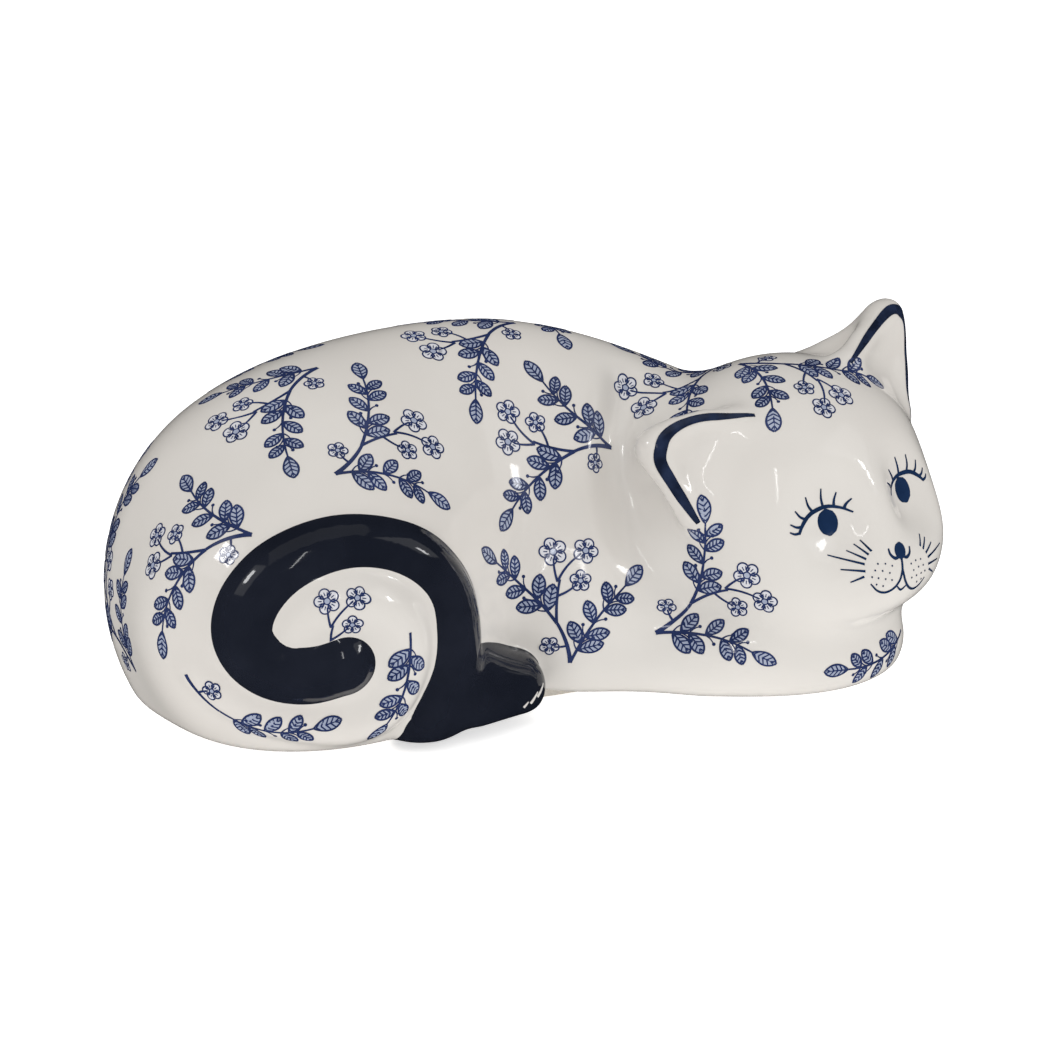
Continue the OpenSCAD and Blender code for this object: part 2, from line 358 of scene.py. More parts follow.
def triangles(co, quads, normals):
    """Two triangles for each quad, split on its shorter diagonal and facing outwards."""
    a, b, c, d = (co[quads[:, i]] for i in range(4))
    short = np.linalg.norm(a - c, axis=1) < np.linalg.norm(b - d, axis=1)
    turned = np.where(short[:, None], quads, np.roll(quads, -1, axis=1))
    tris = np.vstack([turned[:, [0, 1, 2]], turned[:, [0, 2, 3]]])
    face = np.cross(co[tris[:, 1]] - co[tris[:, 0]], co[tris[:, 2]] - co[tris[:, 0]])
    wrong = (face * normals[tris].sum(1)).sum(1) < 0
    tris[wrong] = tris[wrong][:, ::-1]
    return tris


def split(data, tris, level):
    """Cut triangles along the zero level of a value per vertex; data holds a row for each vertex."""
    side = level < 0
    count = side[tris].sum(1)
    below, above, mixed = tris[count == 3], tris[count == 0], tris[(count == 1) | (count == 2)]
    lone_below = side[mixed].sum(1) == 1
    lone = (side[mixed] == lone_below[:, None]).argmax(1)
    turned = mixed[np.arange(len(mixed))[:, None], (lone[:, None] + np.arange(3)) % 3]
    ends = np.vstack([turned[:, [0, 1]], turned[:, [0, 2]]])
    pair, which = np.unique(np.sort(ends, 1), axis=0, return_inverse=True)
    t = (level[pair[:, 0]] / (level[pair[:, 0]] - level[pair[:, 1]]))[:, None]
    data = np.vstack([data, data[pair[:, 0]] * (1 - t) + data[pair[:, 1]] * t])
    which = which.reshape(-1) + len(level)
    near, far = which[: len(turned)], which[len(turned):]
    tip = np.stack([turned[:, 0], near, far], 1)
    rest = np.vstack([np.stack([near, turned[:, 1], turned[:, 2]], 1),
                      np.stack([near, turned[:, 2], far], 1)])
    twice = np.tile(lone_below, 2)
    below = np.vstack([below, tip[lone_below], rest[~twice]])
    above = np.vstack([above, tip[~lone_below], rest[twice]])
    return data, below, above


def closed_shell(co, normals, tris, depth):
    """A patch of surface given an inner face and a rim, so that it is a closed solid."""
    used, tris = np.unique(tris, return_inverse=True)
    tris = tris.reshape(-1, 3)
    co, normals = co[used], normals[used]
    n = len(co)
    edges = np.vstack([tris[:, [0, 1]], tris[:, [1, 2]], tris[:, [2, 0]]])
    key = edges[:, 0].astype(np.int64) * n + edges[:, 1]
    twin = edges[:, 1].astype(np.int64) * n + edges[:, 0]
    open_edges = edges[~np.isin(key, twin)]
    rim = np.vstack([
        np.stack([open_edges[:, 0], open_edges[:, 0] + n, open_edges[:, 1] + n], 1),
        np.stack([open_edges[:, 0], open_edges[:, 1] + n, open_edges[:, 1]], 1)])
    return (np.vstack([co, co - normals * depth]), np.vstack([normals, -normals]),
            np.vstack([tris, tris[:, ::-1] + n, rim]))


# ---------------------------------------------------------------- clay pieces
def make_mesh(name, co, tris, normals, material):
    """A Blender object from points in millimetres on the casting, with given shading normals."""
    mesh = bpy.data.meshes.new(name)
    placed = (np.asarray(co, float) + (0, 0, LIFT)) * MM
    mesh.vertices.add(len(placed))
    mesh.vertices.foreach_set("co", placed.astype(np.float32).ravel())
    mesh.loops.add(tris.size)
    mesh.loops.foreach_set("vertex_index", tris.astype(np.int32).ravel())
    mesh.polygons.add(len(tris))
    mesh.polygons.foreach_set("loop_start", np.arange(0, tris.size, 3, dtype=np.int32))
    mesh.update(calc_edges=True)
    mesh.polygons.foreach_set("use_smooth", np.ones(len(tris), bool))
    unit_n = normals / (np.linalg.norm(normals, axis=1)[:, None] + 1e-9)
    mesh.normals_split_custom_set_from_vertices(unit_n.astype(np.float32))
    mesh.materials.append(material)
    obj = bpy.data.objects.new(name, mesh)
    bpy.context.scene.collection.objects.link(obj)
    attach(obj, "root")
    return obj


def calm(normals, tris, rounds):
    """Even out the shading normals over their neighbours."""
    for _ in range(rounds):
        face = normals[tris].sum(1)
        total = np.zeros((len(normals), 3))
        for corner in range(3):
            for axis in range(3):
                total[:, axis] += np.bincount(tris[:, corner], face[:, axis], len(normals))
        normals = total / (np.linalg.norm(total, axis=1)[:, None] + 1e-9)
    return normals


def body_pieces(materials):
    """The whole glazed surface, parted along the joints into its clay pieces."""
    low, high = (np.array(c) / MM for c in cad_box)
    margin = 10
    co, quads = surface(clay, low - margin, high + margin, FINE)
    co, normals = settle(co, 2)
    tris = triangles(co, quads, normals)
    normals = calm(normals, tris, 4)
    order = ["tail", "hind_paw", "thigh", "right_ear", "left_ear", "head", "right_foreleg", "left_foreleg"]
    names = order + ["torso"]
    data = np.hstack([co, normals] + [CLAY[n](co)[:, None] for n in names]).astype(float)
    wall = 2.0
    for i, name in enumerate(names):
        own = data[:, 6 + i]
        if name == "torso":
            patch = tris
        else:
            rest = data[:, 7 + i:].min(1)
            data, patch, tris = split(data, tris, own - rest)
        points, shading, faces = closed_shell(data[:, :3], data[:, 3:6], patch, wall)
        slot = "navy_glaze" if name in ("tail", "hind_paw") else "white_glaze"
        obj = make_mesh("glazed_" + name, points, faces, shading, materials[slot])
        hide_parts(name)


# ---------------------------------------------------------------- printed sprigs, drawn flat in millimetres
# A mark is a ribbon: the part of the sprig, points along it, half widths, how far it stands proud and its ink
INK, WASH, PALE = 0, 1, 2
BOLD = 1.3


def ribbon(marks, part, points, half, rise, ink=INK):
    points = np.asarray(points, float)
    half = np.interp(np.linspace(0, 1, len(points)), np.linspace(0, 1, len(half)), half)
    marks.append((part, points, half, rise, ink))


def line(marks, part, points, width, rise=0.12, steps=4):
    """A pen line through the points; width is one number or a few along the line."""
    width = np.atleast_1d(width) * BOLD / 2
    run = smooth_run(points, steps)
    ribbon(marks, part, run, width, rise)


def disc(marks, part, centre, r, rise=0.13, ink=INK, squash=1.0, turn=0.0):
    """A filled spot; squash makes it oval, narrow across the given turn."""
    t = np.linspace(-1, 1, 9)
    axis = np.array([math.cos(turn), math.sin(turn)])
    ribbon(marks, part, np.asarray(centre) + t[:, None] * axis * r,
           r * squash * np.sqrt(np.maximum(1 - t**2, 0.01)), rise, ink)


def ring(marks, part, centre, r, width, rise=0.12, lobes=0, depth=0.0):
    """A drawn loop, scalloped when it has lobes."""
    a = np.linspace(0, 2 * math.pi, 25)
    radius = r * (1 + depth * np.abs(np.cos(lobes * a / 2)) - depth)
    ribbon(marks, part, np.asarray(centre) + radius[:, None] * np.stack([np.cos(a), np.sin(a)], 1),
           (width / 2, width / 2), rise)


def leaf(marks, part, base, tip, width, pairs=5):
    """A pale leaf with a pen outline, a midrib and slanting veins."""
    base, tip = np.asarray(base, float), np.asarray(tip, float)
    along = tip - base
    across = np.array([-along[1], along[0]]) / np.linalg.norm(along)
    t = np.linspace(0, 1, 11)
    half = width / 2 * np.sin(math.pi * t**1.2) ** 0.68
    spine = base + t[:, None] * along
    marks.append((part, spine, half, 0.07, WASH))
    for side in (-1, 1):
        ribbon(marks, part, spine + side * across * half[:, None], (0.28, 0.4, 0.38), 0.12)
    ribbon(marks, part, base + np.array([0, 0.5, 0.93])[:, None] * along, (0.34, 0.3, 0.16), 0.12)
    for k in range(pairs):
        root = 0.1 + 0.68 * k / (pairs - 1)
        end = root + 0.15
        reach = width / 2 * math.sin(math.pi * end**1.2) ** 0.68 * 0.95
        for side in (-1, 1):
            vein = [base + root * along, base + end * along + side * across * reach]
            ribbon(marks, part, vein, (0.34, 0.24), 0.11)


def stalk(marks, part, base, tip, r=0.75):
    """A thin stalk that ends in a berry."""
    base, tip = np.asarray(base, float), np.asarray(tip, float)
    bow = np.array([-(tip - base)[1], (tip - base)[0]]) * 0.08
    line(marks, part, [base, (base + tip) / 2 + bow, tip], (0.5, 0.3), 0.11)
    disc(marks, part, tip, r)


def turned(direction, degrees):
    """A flat direction turned to the left."""
    c, s = math.cos(math.radians(degrees)), math.sin(math.radians(degrees))
    return np.array([direction[0] * c - direction[1] * s, direction[0] * s + direction[1] * c])


def arc(start, heading, length, bend, count=13):
    """Points along a stem that starts at a heading and turns evenly, both in degrees, over its length."""
    angle = np.radians(heading + bend * np.linspace(0, 1, count - 1))
    steps = np.stack([np.cos(angle), np.sin(angle)], 1) * length / (count - 1)
    return np.asarray(start, float) + np.vstack([(0, 0), np.cumsum(steps, 0)])


def spray(marks, part, start, heading, length, bend, leaves=7, leaf_length=11.0):
    """A stem with a leaf at its end, leaves in turn on its two sides and a berry opposite each leaf."""
    stem = arc(start, heading, length, bend)
    ribbon(marks, part, stem, (0.65, 0.35), 0.12)
    ahead = np.gradient(stem, axis=0)
    ahead /= np.linalg.norm(ahead, axis=1)[:, None]
    for k in range(leaves):
        share = (k + 1) / (leaves + 1)
        at = round(share * (len(stem) - 1))
        side = 1 if k % 2 else -1
        reach = leaf_length * (1 - 0.3 * share)
        leaf(marks, part, stem[at], stem[at] + turned(ahead[at], side * 52) * reach, 0.5 * reach)
        stalk(marks, part, stem[at], stem[at] + turned(ahead[at], -side * 38) * 0.52 * reach, 0.7)
    leaf(marks, part, stem[-1], stem[-1] + ahead[-1] * leaf_length, 0.5 * leaf_length)


def blossom(marks, part, centre, r, turn=0.0):
    """A plain flower: five round petals, each with three veins, about a round heart."""
    centre = np.asarray(centre, float)
    for k in range(5):
        out = turned((1, 0), turn + 72 * k)
        at = centre + 0.6 * r * out
        disc(marks, part, at, 0.4 * r, 0.11, PALE)
        ring(marks, part, at, 0.42 * r, 0.6, 0.13)
        for lean in (-22, 0, 22):
            vein = turned(out, lean)
            ribbon(marks, part, [centre + 0.42 * r * vein, centre + 0.72 * r * vein], (0.24, 0.16), 0.15)
    disc(marks, part, centre, 0.24 * r, 0.16, WASH)
    ring(marks, part, centre, 0.26 * r, 0.5, 0.17)


def twig(marks, part, start, heading, length, bend, r):
    """A curved twig that carries a blossom."""
    run = arc(start, heading, length, bend)
    ribbon(marks, part, run, (0.5, 0.35), 0.12)
    blossom(marks, part, run[-1] + unit(run[-1] - run[-2]) * 0.5 * r, r, heading)


# Where the sprig's branches leave its stem
FORK = (12, 14)


def sprig():
    """A plain sprig: two leafy sprays from one stem, with blossoms between them and at the side."""
    m = []
    ribbon(m, "stem", arc((0, 0), 38, 18.5, 22), (0.9, 0.6), 0.12)
    spray(m, "lower", (0, 0), 12, 38, -32)
    spray(m, "upper", FORK, 66, 36, 26)
    ribbon(m, "bloom", arc(FORK, 34, 17, -16), (0.6, 0.45), 0.12)
    twig(m, "bloom", (26, 21.8), 48, 9, -18, 5.2)
    twig(m, "bloom", (26, 21.8), 4, 14, -30, 4.8)
    twig(m, "bloom", (21, 19.4), -42, 9, 24, 4)
    twig(m, "side", (6, 5.6), 140, 5, -30, 3.8)
    return m


def flat_mesh(marks):
    """All marks as closed ribbons: points, rise of each, faces, ink of each face, ribbon of each point."""
    flat, rise, tris, inks, owner = [], [], [], [], []
    start = 0
    for number, (_, points, half, up, ink) in enumerate(marks):
        along = np.gradient(points, axis=0)
        along /= np.linalg.norm(along, axis=1)[:, None] + 1e-9
        across = np.stack([-along[:, 1], along[:, 0]], 1) * half[:, None]
        columns = [points + across, points - across]
        if half.max() > 1:
            columns.insert(1, points)
        wide, n = len(columns), len(points)
        layer = np.stack(columns, 1).reshape(-1, 2)
        flat.append(np.vstack([layer, layer]))
        rise.append(np.r_[np.full(n * wide, up), np.full(n * wide, -0.12)])
        top = start + np.arange(n * wide).reshape(n, wide)
        under = top + n * wide
        quads = []
        for c in range(wide - 1):
            quads.append(np.stack([top[:-1, c], top[:-1, c + 1], top[1:, c + 1], top[1:, c]], 1))
            quads.append(np.stack([under[:-1, c], under[1:, c], under[1:, c + 1], under[:-1, c + 1]], 1))
        quads.append(np.stack([top[:-1, 0], top[1:, 0], under[1:, 0], under[:-1, 0]], 1))
        quads.append(np.stack([top[:-1, -1], under[:-1, -1], under[1:, -1], top[1:, -1]], 1))
        quads.append(np.stack([top[0, :-1], under[0, :-1], under[0, 1:], top[0, 1:]], 1))
        quads.append(np.stack([top[-1, :-1], top[-1, 1:], under[-1, 1:], under[-1, :-1]], 1))
        quads = np.vstack(quads)
        tris.append(np.vstack([quads[:, [0, 1, 2]], quads[:, [0, 2, 3]]]))
        inks.append(np.full(len(tris[-1]), ink))
        owner.append(np.full(2 * n * wide, number))
        start += 2 * n * wide
    return np.vstack(flat), np.concatenate(rise), np.vstack(tris), np.concatenate(inks), np.concatenate(owner)


# ---------------------------------------------------------------- laying a sprig on the clay
CELL, REACH = 1.6, 26


def step_over(p, heading, length):
    """One pace over the clay, keeping the heading level with it."""
    q = p + heading * length
    n = slope(q)
    q = q - n * clay(q)[:, None]
    turned = heading - n * (heading * n).sum(1)[:, None]
    return q.astype(np.float32), turned / (np.linalg.norm(turned, axis=1)[:, None] + 1e-9)


def spread(spots, ways):
    """For each spot, a square sheet of points laid over the clay, with the sprig's up along the way given."""
    p, n = settle(np.asarray(spots, np.float32))
    way = np.asarray(ways, float)
    way = way - n * (way * n).sum(1)[:, None]
    way /= np.linalg.norm(way, axis=1)[:, None]
    size = 2 * REACH + 1
    spine = np.zeros((size, len(p), 3))
    heads = np.zeros((size, len(p), 3))
    spine[REACH], heads[REACH] = p, way
    for sign in (1, -1):
        q, h = p, way * sign
        for k in range(1, REACH + 1):
            q, h = step_over(q, h, CELL)
            spine[REACH + sign * k], heads[REACH + sign * k] = q, h * sign
    p, h = spine.reshape(-1, 3).astype(np.float32), heads.reshape(-1, 3)
    right = np.cross(h, slope(p))
    sheet = np.zeros((size, len(p), 3))
    sheet[REACH] = p
    for sign in (1, -1):
        q, w = p, right * sign
        for k in range(1, REACH + 1):
            q, w = step_over(q, w, CELL)
            sheet[REACH + sign * k] = q
    sheet = sheet.reshape(size, size, len(spots), 3).transpose(2, 0, 1, 3)
    normals = slope(sheet.reshape(-1, 3).astype(np.float32)).reshape(sheet.shape)
    return sheet, normals


def read_sheet(sheet, uv):
    """Smooth values between the points of a sheet, right and up of its middle in millimetres."""
    at = np.clip(uv / CELL + REACH, 1, 2 * REACH - 1.001)
    cell = at.astype(int)
    t = at - cell
    weights = []
    for axis in (0, 1):
        s = t[:, axis]
        weights.append(np.stack([-s + 2 * s**2 - s**3, 2 - 5 * s**2 + 3 * s**3,
                                 s + 4 * s**2 - 3 * s**3, s**3 - s**2], 1) / 2)
    total = 0
    for i in range(4):
        for j in range(4):
            rows = np.clip(cell[:, 0] - 1 + i, 0, 2 * REACH)
            cols = np.clip(cell[:, 1] - 1 + j, 0, 2 * REACH)
            total = total + sheet[rows, cols] * (weights[0][:, i] * weights[1][:, j])[:, None]
    return total


def on_white(p):
    """Positive on the white glaze, negative on the navy tail and paw and under the foot."""
    navy = np.minimum(CLAY["tail"](p), CLAY["hind_paw"](p))
    others = np.min([fn(p) for name, fn in CLAY.items() if name not in ("tail", "hind_paw")], 0)
    return np.minimum(navy - others, p[:, 2] - 1.5)


def lay(flat_parts, middle, sheet, normals, scale):
    """A flat mesh on the clay: its points, shading normals, faces and the ink of each face."""
    flat, rise, tris, inks, owner = flat_parts
    uv = (flat - middle) * scale
    p, n = read_sheet(sheet, uv), read_sheet(normals, uv)
    n /= np.linalg.norm(n, axis=1)[:, None] + 1e-9
    p = p - n * np.clip(clay(p.astype(np.float32)), -1, 1)[:, None]
    white = on_white(p.astype(np.float32))
    inside = (np.abs(uv) < CELL * (REACH - 1)).all(1)
    height = np.where(white > 0, rise, -0.5)
    alive = np.zeros(owner.max() + 1, bool)
    np.logical_or.at(alive, owner, white > 0)
    outside = np.zeros(owner.max() + 1, bool)
    np.logical_or.at(outside, owner, ~inside)
    keep = (alive & ~outside)[owner[tris[:, 0]]]
    tris, inks = tris[keep], inks[keep]
    used, tris = np.unique(tris, return_inverse=True)
    return (p + n * height[:, None])[used], n[used], tris.reshape(-1, 3), inks


# ---------------------------------------------------------------- materials
def node_material(name):
    mat = bpy.data.materials.new(name)
    mat.use_nodes = True
    tree = mat.node_tree
    return mat, tree.nodes, tree.links, tree.nodes["Principled BSDF"]


def noise(nodes, links, coords, scale, detail=2.0, roughness=0.5):
    n = nodes.new("ShaderNodeTexNoise")
    n.inputs["Scale"].default_value = scale
    n.inputs["Detail"].default_value = detail
    n.inputs["Roughness"].default_value = roughness
    links.new(coords.outputs["Object"], n.inputs["Vector"])
    return n


def ramp(nodes, links, value, stops):
    r = nodes.new("ShaderNodeValToRGB")
    elements = r.color_ramp.elements
    while len(elements) < len(stops):
        elements.new(0.5)
    for e, (at, colour) in zip(elements, stops):
        e.position = at
        e.color = (*colour, 1)
    links.new(value, r.inputs["Fac"])
    return r


def glaze(name, dark, light, cloud=9.0, coat=1.0, roughness=0.28, ripple=0.02, ripple_scale=14.0):
    """A glossy glaze whose colour drifts between two tones and whose skin is very slightly uneven."""
    mat, nodes, links, shader = node_material(name)
    coords = nodes.new("ShaderNodeTexCoord")
    drift = noise(nodes, links, coords, cloud, 3.0, 0.55)
    tones = ramp(nodes, links, drift.outputs["Fac"], [(0.35, dark), (0.65, light)])
    links.new(tones.outputs["Color"], shader.inputs["Base Color"])
    shader.inputs["Roughness"].default_value = roughness
    shader.inputs["Specular IOR Level"].default_value = 0.0
    shader.inputs["Coat Weight"].default_value = coat
    shader.inputs["Coat Roughness"].default_value = 0.07
    shader.inputs["Coat IOR"].default_value = 1.5
    waves = noise(nodes, links, coords, ripple_scale, 1.0, 0.4)
    bump = nodes.new("ShaderNodeBump")
    bump.inputs["Strength"].default_value = ripple
    bump.inputs["Distance"].default_value = 0.02
    links.new(waves.outputs["Fac"], bump.inputs["Height"])
    links.new(bump.outputs["Normal"], shader.inputs["Coat Normal"])
    return mat


def bare_clay():
    """Fired white clay with fine grog and a chalky surface."""
    mat, nodes, links, shader = node_material("bare_clay")
    coords = nodes.new("ShaderNodeTexCoord")
    grog = noise(nodes, links, coords, 900.0, 4.0, 0.7)
    tones = ramp(nodes, links, grog.outputs["Fac"], [(0.3, (0.56, 0.52, 0.46)), (0.7, (0.70, 0.66, 0.60))])
    links.new(tones.outputs["Color"], shader.inputs["Base Color"])
    shader.inputs["Roughness"].default_value = 0.85
    bump = nodes.new("ShaderNodeBump")
    bump.inputs["Strength"].default_value = 0.25
    bump.inputs["Distance"].default_value = 0.0004
    links.new(grog.outputs["Fac"], bump.inputs["Height"])
    links.new(bump.outputs["Normal"], shader.inputs["Normal"])
    return mat


def felt_cloth():
    """Grey pressed felt: matted fibres and a soft sheen."""
    mat, nodes, links, shader = node_material("felt")
    coords = nodes.new("ShaderNodeTexCoord")
    fibres = noise(nodes, links, coords, 2600.0, 6.0, 0.75)
    tones = ramp(nodes, links, fibres.outputs["Fac"],
                 [(0.3, (0.045, 0.045, 0.05)), (0.7, (0.12, 0.12, 0.13))])
    links.new(tones.outputs["Color"], shader.inputs["Base Color"])
    shader.inputs["Roughness"].default_value = 0.95
    shader.inputs["Sheen Weight"].default_value = 0.4
    bump = nodes.new("ShaderNodeBump")
    bump.inputs["Strength"].default_value = 0.6
    bump.inputs["Distance"].default_value = 0.0003
    links.new(fibres.outputs["Fac"], bump.inputs["Height"])
    links.new(bump.outputs["Normal"], shader.inputs["Normal"])
    return mat


MATERIALS = {
    "white_glaze": glaze("white_glaze", (0.665, 0.635, 0.60), (0.705, 0.68, 0.645)),
    "navy_glaze": glaze("navy_glaze", (0.009, 0.011, 0.018), (0.014, 0.0165, 0.026), cloud=30.0),
    "print_ink": glaze("print_ink", (0.018, 0.029, 0.088), (0.030, 0.045, 0.130), cloud=60.0),
    "face_ink": glaze("face_ink", (0.008, 0.022, 0.062), (0.014, 0.034, 0.092), cloud=60.0),
    "line_ink": glaze("line_ink", (0.008, 0.012, 0.027), (0.018, 0.028, 0.064), cloud=140.0),
    "print_wash": glaze("print_wash", (0.30, 0.34, 0.46), (0.40, 0.44, 0.55), cloud=60.0),
    "print_pale": glaze("print_pale", (0.62, 0.63, 0.68), (0.68, 0.68, 0.71), cloud=60.0),
    "bare_clay": bare_clay(),
    "felt": felt_cloth(),
}


# ---------------------------------------------------------------- printed pieces
def print_piece(name, points, normals, tris, inks, ink="print_ink", slot="navy_glaze"):
    obj = make_mesh(name, points, tris, normals, MATERIALS[ink])
    obj.data.materials.append(MATERIALS["print_wash"])
    obj.data.materials.append(MATERIALS["print_pale"])
    obj.data.polygons.foreach_set("material_index", inks.astype(np.int32))
    return obj


# Where each sprig's middle lies, the way its upper spray points, its size, and the parts that are printed
ALL = ("stem", "lower", "upper", "side", "bloom")
LOWER = ("lower",)
SPRIGS = {
    "flank_1": ((-105, -15, 120), (-0.1, -0.9, -0.4), 1.0, ALL),
    "flank_2": ((-65, -30, 115), (0.1, 0.8, 0.6), 1.0, ALL),
    "flank_3": ((-20, 10, 130), (-0.2, -0.9, -0.4), 1.0, ALL),
    "flank_4": ((-150, -45, 75), (-0.5, -0.1, -0.9), 1.0, ALL),
    "flank_5": ((-5, -45, 50), (-0.8, 0.3, 0.5), 1.0, ALL),
    "flank_6": ((0, -20, 95), (-0.7, -0.4, -0.6), 1.0, ALL),
    "cheek": ((60, -55, 50), (-0.2, -0.2, 1), 1.0, ALL),
    "crown": ((110, -30, 120), (1, 0.1, -0.1), 1.0, ALL),
    "nape": ((60, -10, 110), (-0.3, -0.9, -0.2), 1.0, ALL),
    "back_1": ((15, 40, 120), (0.1, -1, 0.2), 1.0, ALL),
    "back_2": ((-90, 50, 110), (0.1, 1, -0.3), 1.0, ALL),
    "rump_1": ((-160, 15, 40), (0, 1, -0.2), 1.0, ALL),
    "rump_2": ((-150, 40, 80), (0.1, 1, 0.1), 1.0, ALL),
    "far_1": ((-120, 80, 40), (0.9, 0.1, 0.3), 1.0, ALL),
    "far_2": ((-45, 80, 70), (-0.2, 0.2, 1), 1.0, ALL),
    "far_3": ((-60, 85, 20), (0.1, 0, 1), 1.0, LOWER),
    "far_4": ((30, 70, 60), (0.5, 0.1, 0.8), 1.0, ALL),
    "far_5": ((50, 65, 15), (0, 0, 1), 1.0, LOWER),
    "chest_far": ((100, 60, 35), (-0.3, 0, 1), 1.0, ALL),
    "head_back": ((90, 30, 90), (-0.4, 0.3, -0.8), 1.0, ALL),
    "foreleg": ((120, -65, 12), (0.2, 0.2, -1), 1.0, LOWER),
    "coil_bloom": ((-105, -80, 55), (-0.9, -0.1, 0.5), 0.9, ("bloom",)),
    "coil_upper": ((-120, -75, 17), (0.9, -0.4, 0.1), 1.0, ("stem", "upper", "side")),
    "coil_lower": ((-75, -80, 25), (1, 0.2, -0.1), 1.0, LOWER),
}


def lay_sprigs():
    marks = sprig()
    flats = {}
    names = list(SPRIGS)
    middles = {ALL: (22, 24), ("bloom",): (22, 24), LOWER: (27, 0), ("stem", "upper", "side"): (17, 36)}
    sheets, normals = spread([SPRIGS[n][0] for n in names], [SPRIGS[n][1] for n in names])
    for k, name in enumerate(names):
        size, parts = SPRIGS[name][2:]
        if parts not in flats:
            flats[parts] = flat_mesh([m for m in marks if m[0] in parts])
        print_piece("sprig_" + name, *lay(flats[parts], middles[parts], sheets[k], normals[k], size))


def onto_face(flat):
    """The clay straight behind flat points seen from in front of the face: sideways and up in millimetres."""
    p = from_head(np.column_stack([np.full(len(flat), 90.0), flat])).astype(np.float32)
    for _ in range(60):
        p = p - FACE.astype(np.float32) * (0.8 * np.clip(clay(p), -5, 40))[:, None]
    return p


def face_marks():
    """Two lashed eyes, nose, mouth, whiskers and whisker dots, drawn for the cat's left and mirrored."""
    m = []
    for s in (-1, 1):
        def both(*points):
            return [(s * x, y) for x, y in points]
        disc(m, "eye", (s * 20.9, 1.9), 5.2, 0.12, INK, 0.86, math.pi / 2 + s * 0.12)
        line(m, "lash", both((10.6, 3), (14.6, 6), (20.4, 7.9), (27.4, 7.2), (32, 4.4), (34.8, 1.4)),
             (0.5, 0.9, 1.3, 1.2, 0.8), 0.13)
        for root, bend, tip in (
                ((34.2, 1.7), (36.4, 1.9), (38, 3)), ((32.6, 3.6), (35, 4.2), (36.9, 5.8)),
                ((30, 5.8), (32.2, 7.4), (33.6, 10.1)), ((26.2, 7.6), (27.6, 10.4), (27.9, 14)),
                ((21.2, 8), (21.3, 11.6), (20.6, 15.2)), ((16.6, 7), (16, 9.4), (14.6, 12)),
                ((13.2, 5.2), (12, 6.8), (9.9, 8.2))):
            line(m, "lash", both(root, bend, tip), (0.9, 0.7, 0.4), 0.14)
    muzzle = []
    for s in (-1, 1):
        def both(*points):
            return [(s * x, y) for x, y in points]
        line(muzzle, "nose", both((5.6, 1.2), (5, -1.2), (2.9, -2.7), (0.4, -1.8)), (0.5, 0.8, 1, 0.8))
        smile = both((0, -7.1), (1.4, -11.2), (4.2, -14.2), (8, -15.4), (11.8, -14.4), (15, -11.6))
        line(muzzle, "mouth", smile, (0.75, 0.75, 0.7, 0.6, 0.4))
        for a, b in (((15, 5), (12.4, 0.6)), ((17.4, 3.6), (13.8, -0.6)), ((20.8, 1.4), (15.2, -2.2)),
                     ((28.6, 0.2), (16.4, -4)), ((25.6, -5.4), (16.8, -6.6)), ((23, -10.4), (17.6, -8.6))):
            line(muzzle, "whisker", both(a, b), (0.35, 0.7))
        for at in ((5, -5.4), (8, -4.4), (11.2, -4.2), (6.4, -8), (9.6, -7), (12.8, -6.6), (5.4, -10.8),
                   (8.4, -10.2), (11.6, -9.6), (14.4, -9), (9.4, -12.8), (12.4, -12)):
            disc(muzzle, "dots", (s * at[0], at[1]), 0.36)
    disc(muzzle, "nose", (0, 0), 3.3, 0.14, INK, 0.85, math.pi / 2)
    line(muzzle, "mouth", [(0, -2), (0.1, -4.6), (0, -7.2)], 0.8)
    line(muzzle, "mouth", [(-2.6, -13.4), (0, -15), (2.6, -13.4)], (0.4, 0.7, 0.4))
    c, s = math.cos(MUZZLE_TILT), math.sin(MUZZLE_TILT)
    for part, points, half, rise, ink in muzzle:
        turned = np.stack([points[:, 0] * c - points[:, 1] * s, points[:, 0] * s + points[:, 1] * c], 1)
        m.append((part, turned + NOSE, half, rise, ink))
    return m


NOSE, MUZZLE_TILT = np.array([1.2, -15.8]), math.radians(-13)


def draw_face():
    flat, rise, tris, inks, _ = flat_mesh(face_marks())
    p, n = settle(onto_face(flat), 1)
    print_piece("painted_face", p + n * rise[:, None], n, tris, inks, "face_ink")


def brush_band(name, run, widths, ink, rise=0.16):
    """One brush stroke along points on the clay, as a closed ribbon that hugs it."""
    run, normals = settle(smooth_run(run, 8), 3)
    ahead = np.gradient(run, axis=0)
    across = np.cross(normals, ahead / np.linalg.norm(ahead, axis=1)[:, None])
    half = np.interp(np.linspace(0, 1, len(run)), np.linspace(0, 1, len(widths)), widths) / 2
    offsets = np.linspace(-1, 1, 7)
    grid = run[:, None] + across[:, None] * offsets[None, :, None] * half[:, None, None]
    p, n = settle(grid.reshape(-1, 3), 2)
    rows, cols = grid.shape[:2]
    top = np.arange(rows * cols).reshape(rows, cols)
    rim = np.concatenate([top[:, 0], top[-1, 1:], top[-2::-1, -1], top[0, -2:0:-1]])
    walls = np.stack([rim, rim + rows * cols, np.roll(rim, -1) + rows * cols, np.roll(rim, -1)], 1)
    cells = np.stack([top[:-1, :-1], top[1:, :-1], top[1:, 1:], top[:-1, 1:]], -1).reshape(-1, 4)
    quads = np.vstack([cells, cells[:, ::-1] + rows * cols, walls])
    tris = np.vstack([quads[:, [0, 1, 2]], quads[:, [0, 2, 3]]])
    skins = np.vstack([p + n * rise, p - n * 0.2])
    make_mesh(name, skins, tris, np.vstack([n, n]), MATERIALS[ink])


EAR_LINE_OUT = 0.2


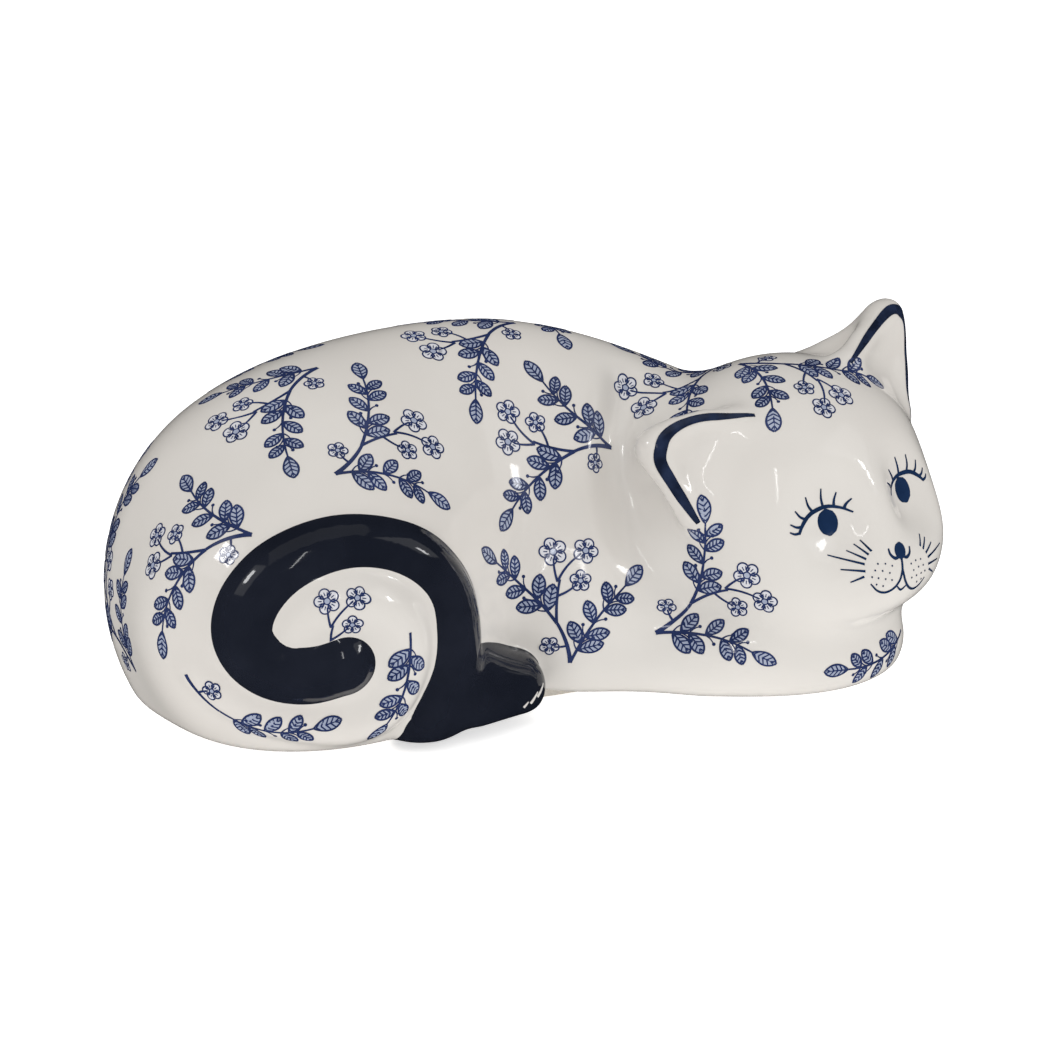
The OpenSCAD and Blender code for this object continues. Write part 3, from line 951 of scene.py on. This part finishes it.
def line_ears():
    """A thick navy line round the inner rim of each ear."""
    for name in EARS:
        inside, outside = ear_edges(name)
        middle = (inside[0] + outside[0] + inside[-1]) / 3
        along = np.vstack([inside[[0, 3, 5]], outside[[5, 3, 0]]])
        path = along + (along - middle) * EAR_LINE_OUT + (4, 0, 0)
        brush_band("ear_line_" + name, [from_head(v) for v in path],
                   (1.4, 3.2, 3.6, 4.4, 5.2, 5, 4.8, 4.2, 1.8), "line_ink")


def mark_toes():
    """Three short white strokes on the end of the hind paw."""
    toes = (((-19, -57, 8), (-17, -57, 10)), ((-16, -56, 9), (-13, -55, 13)),
            ((-13, -55, 11), (-10, -52, 15)))
    for k, (a, b) in enumerate(toes):
        stroke = [a, np.add(a, b) / 2, b]
        brush_band(f"toe_mark_{k + 1}", stroke, (1.4, 1.0, 0.4), "white_glaze")


# ---------------------------------------------------------------- stage, light and camera
FLOOR_GLOW = 0.62


def stage_floor():
    mat, nodes, links, shader = node_material("pale_floor")
    coords = nodes.new("ShaderNodeTexCoord")
    mottle = noise(nodes, links, coords, 3.0, 2.0, 0.5)
    tones = ramp(nodes, links, mottle.outputs["Fac"], [(0.3, (0.92, 0.92, 0.92)), (0.7, (0.94, 0.94, 0.94))])
    links.new(tones.outputs["Color"], shader.inputs["Base Color"])
    shader.inputs["Roughness"].default_value = 0.9
    shader.inputs["Specular IOR Level"].default_value = 0.1
    shader.inputs["Emission Color"].default_value = (1, 1, 1, 1)
    shader.inputs["Emission Strength"].default_value = FLOOR_GLOW
    mesh = bpy.data.meshes.new("floor")
    half = 6.0
    corners = [(-half, -half, 0), (half, -half, 0), (half, half, 0), (-half, half, 0)]
    mesh.from_pydata(corners, [], [(0, 1, 2, 3)])
    mesh.materials.append(mat)
    floor = bpy.data.objects.new("floor", mesh)
    bpy.context.scene.collection.objects.link(floor)
    floor.visible_glossy = False


def softbox(name, azimuth, elevation, distance, size, brightness, mirrored=True):
    """A soft light at a place round the figure; a plain fill isn't mirrored in the glaze."""
    a, b = math.radians(azimuth), math.radians(elevation)
    aim = Vector((0, 0, 0.06))
    away = Vector((math.sin(a) * math.cos(b), -math.cos(a) * math.cos(b), math.sin(b)))
    data = bpy.data.lights.new(name, "AREA")
    data.shape = "RECTANGLE"
    data.size, data.size_y = size
    data.energy = brightness * math.pi * size[0] * size[1]
    lamp = bpy.data.objects.new(name, data)
    bpy.context.scene.collection.objects.link(lamp)
    lamp.location = aim + away * distance
    lamp.rotation_euler = away.to_track_quat("Z", "Y").to_euler()
    lamp.visible_glossy = mirrored


def light_and_camera():
    world = bpy.data.worlds.new("studio")
    bpy.context.scene.world = world
    world.use_nodes = True
    world.node_tree.nodes["Background"].inputs["Color"].default_value = (1.0, 0.99, 0.975, 1)
    world.node_tree.nodes["Background"].inputs["Strength"].default_value = 0.56
    world.cycles_visibility.glossy = False
    softbox("top_fill", 10, 70, 1.6, (1.4, 1.2), 0.75, False)
    softbox("right_fill", 30, 35, 1.6, (1.0, 0.8), 0.45, False)
    softbox("sky", 0, 80, 1.5, (1.6, 1.2), 0.22)
    softbox("left_glint", -80, 42, 1.3, (0.22, 0.22), 12)
    softbox("right_glint", 57, 26, 1.3, (0.13, 0.18), 11)
    softbox("left_soft", -74, 40, 1.35, (0.8, 0.6), 0.6)
    softbox("right_soft", 60, 32, 1.35, (0.7, 0.6), 0.6)
    softbox("front_strip", 0, 30, 1.4, (0.03, 0.5), 9)
    scene = bpy.context.scene
    scene.view_settings.view_transform = "Standard"
    scene.view_settings.look = "None"

    azimuth, elevation, distance = math.radians(-19), math.radians(17), 1.5
    back = Vector((math.sin(azimuth) * math.cos(elevation), -math.cos(azimuth) * math.cos(elevation),
                   math.sin(elevation)))
    right = Vector((math.cos(azimuth), math.sin(azimuth), 0))
    aim = Vector((-0.004, -0.014, 0.0615)) + 0.00577 * back.cross(right) + 0.00038 * right
    data = bpy.data.cameras.new("camera")
    data.sensor_width = 36
    data.lens = 133.7
    camera = bpy.data.objects.new("camera", data)
    camera.location = aim + back * distance
    camera.rotation_euler = (-back).to_track_quat("-Z", "Y").to_euler()
    scene.collection.objects.link(camera)
    scene.camera = camera


# ---------------------------------------------------------------- build
body_pieces(MATERIALS)
lay_sprigs()
draw_face()
line_ears()
mark_toes()
for node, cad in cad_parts.items():
    if node == "base_plate" or node.startswith("pad_"):
        cad.data.materials.clear()
        cad.data.materials.append(MATERIALS["bare_clay" if node == "base_plate" else "felt"])
stage_floor()
light_and_camera()
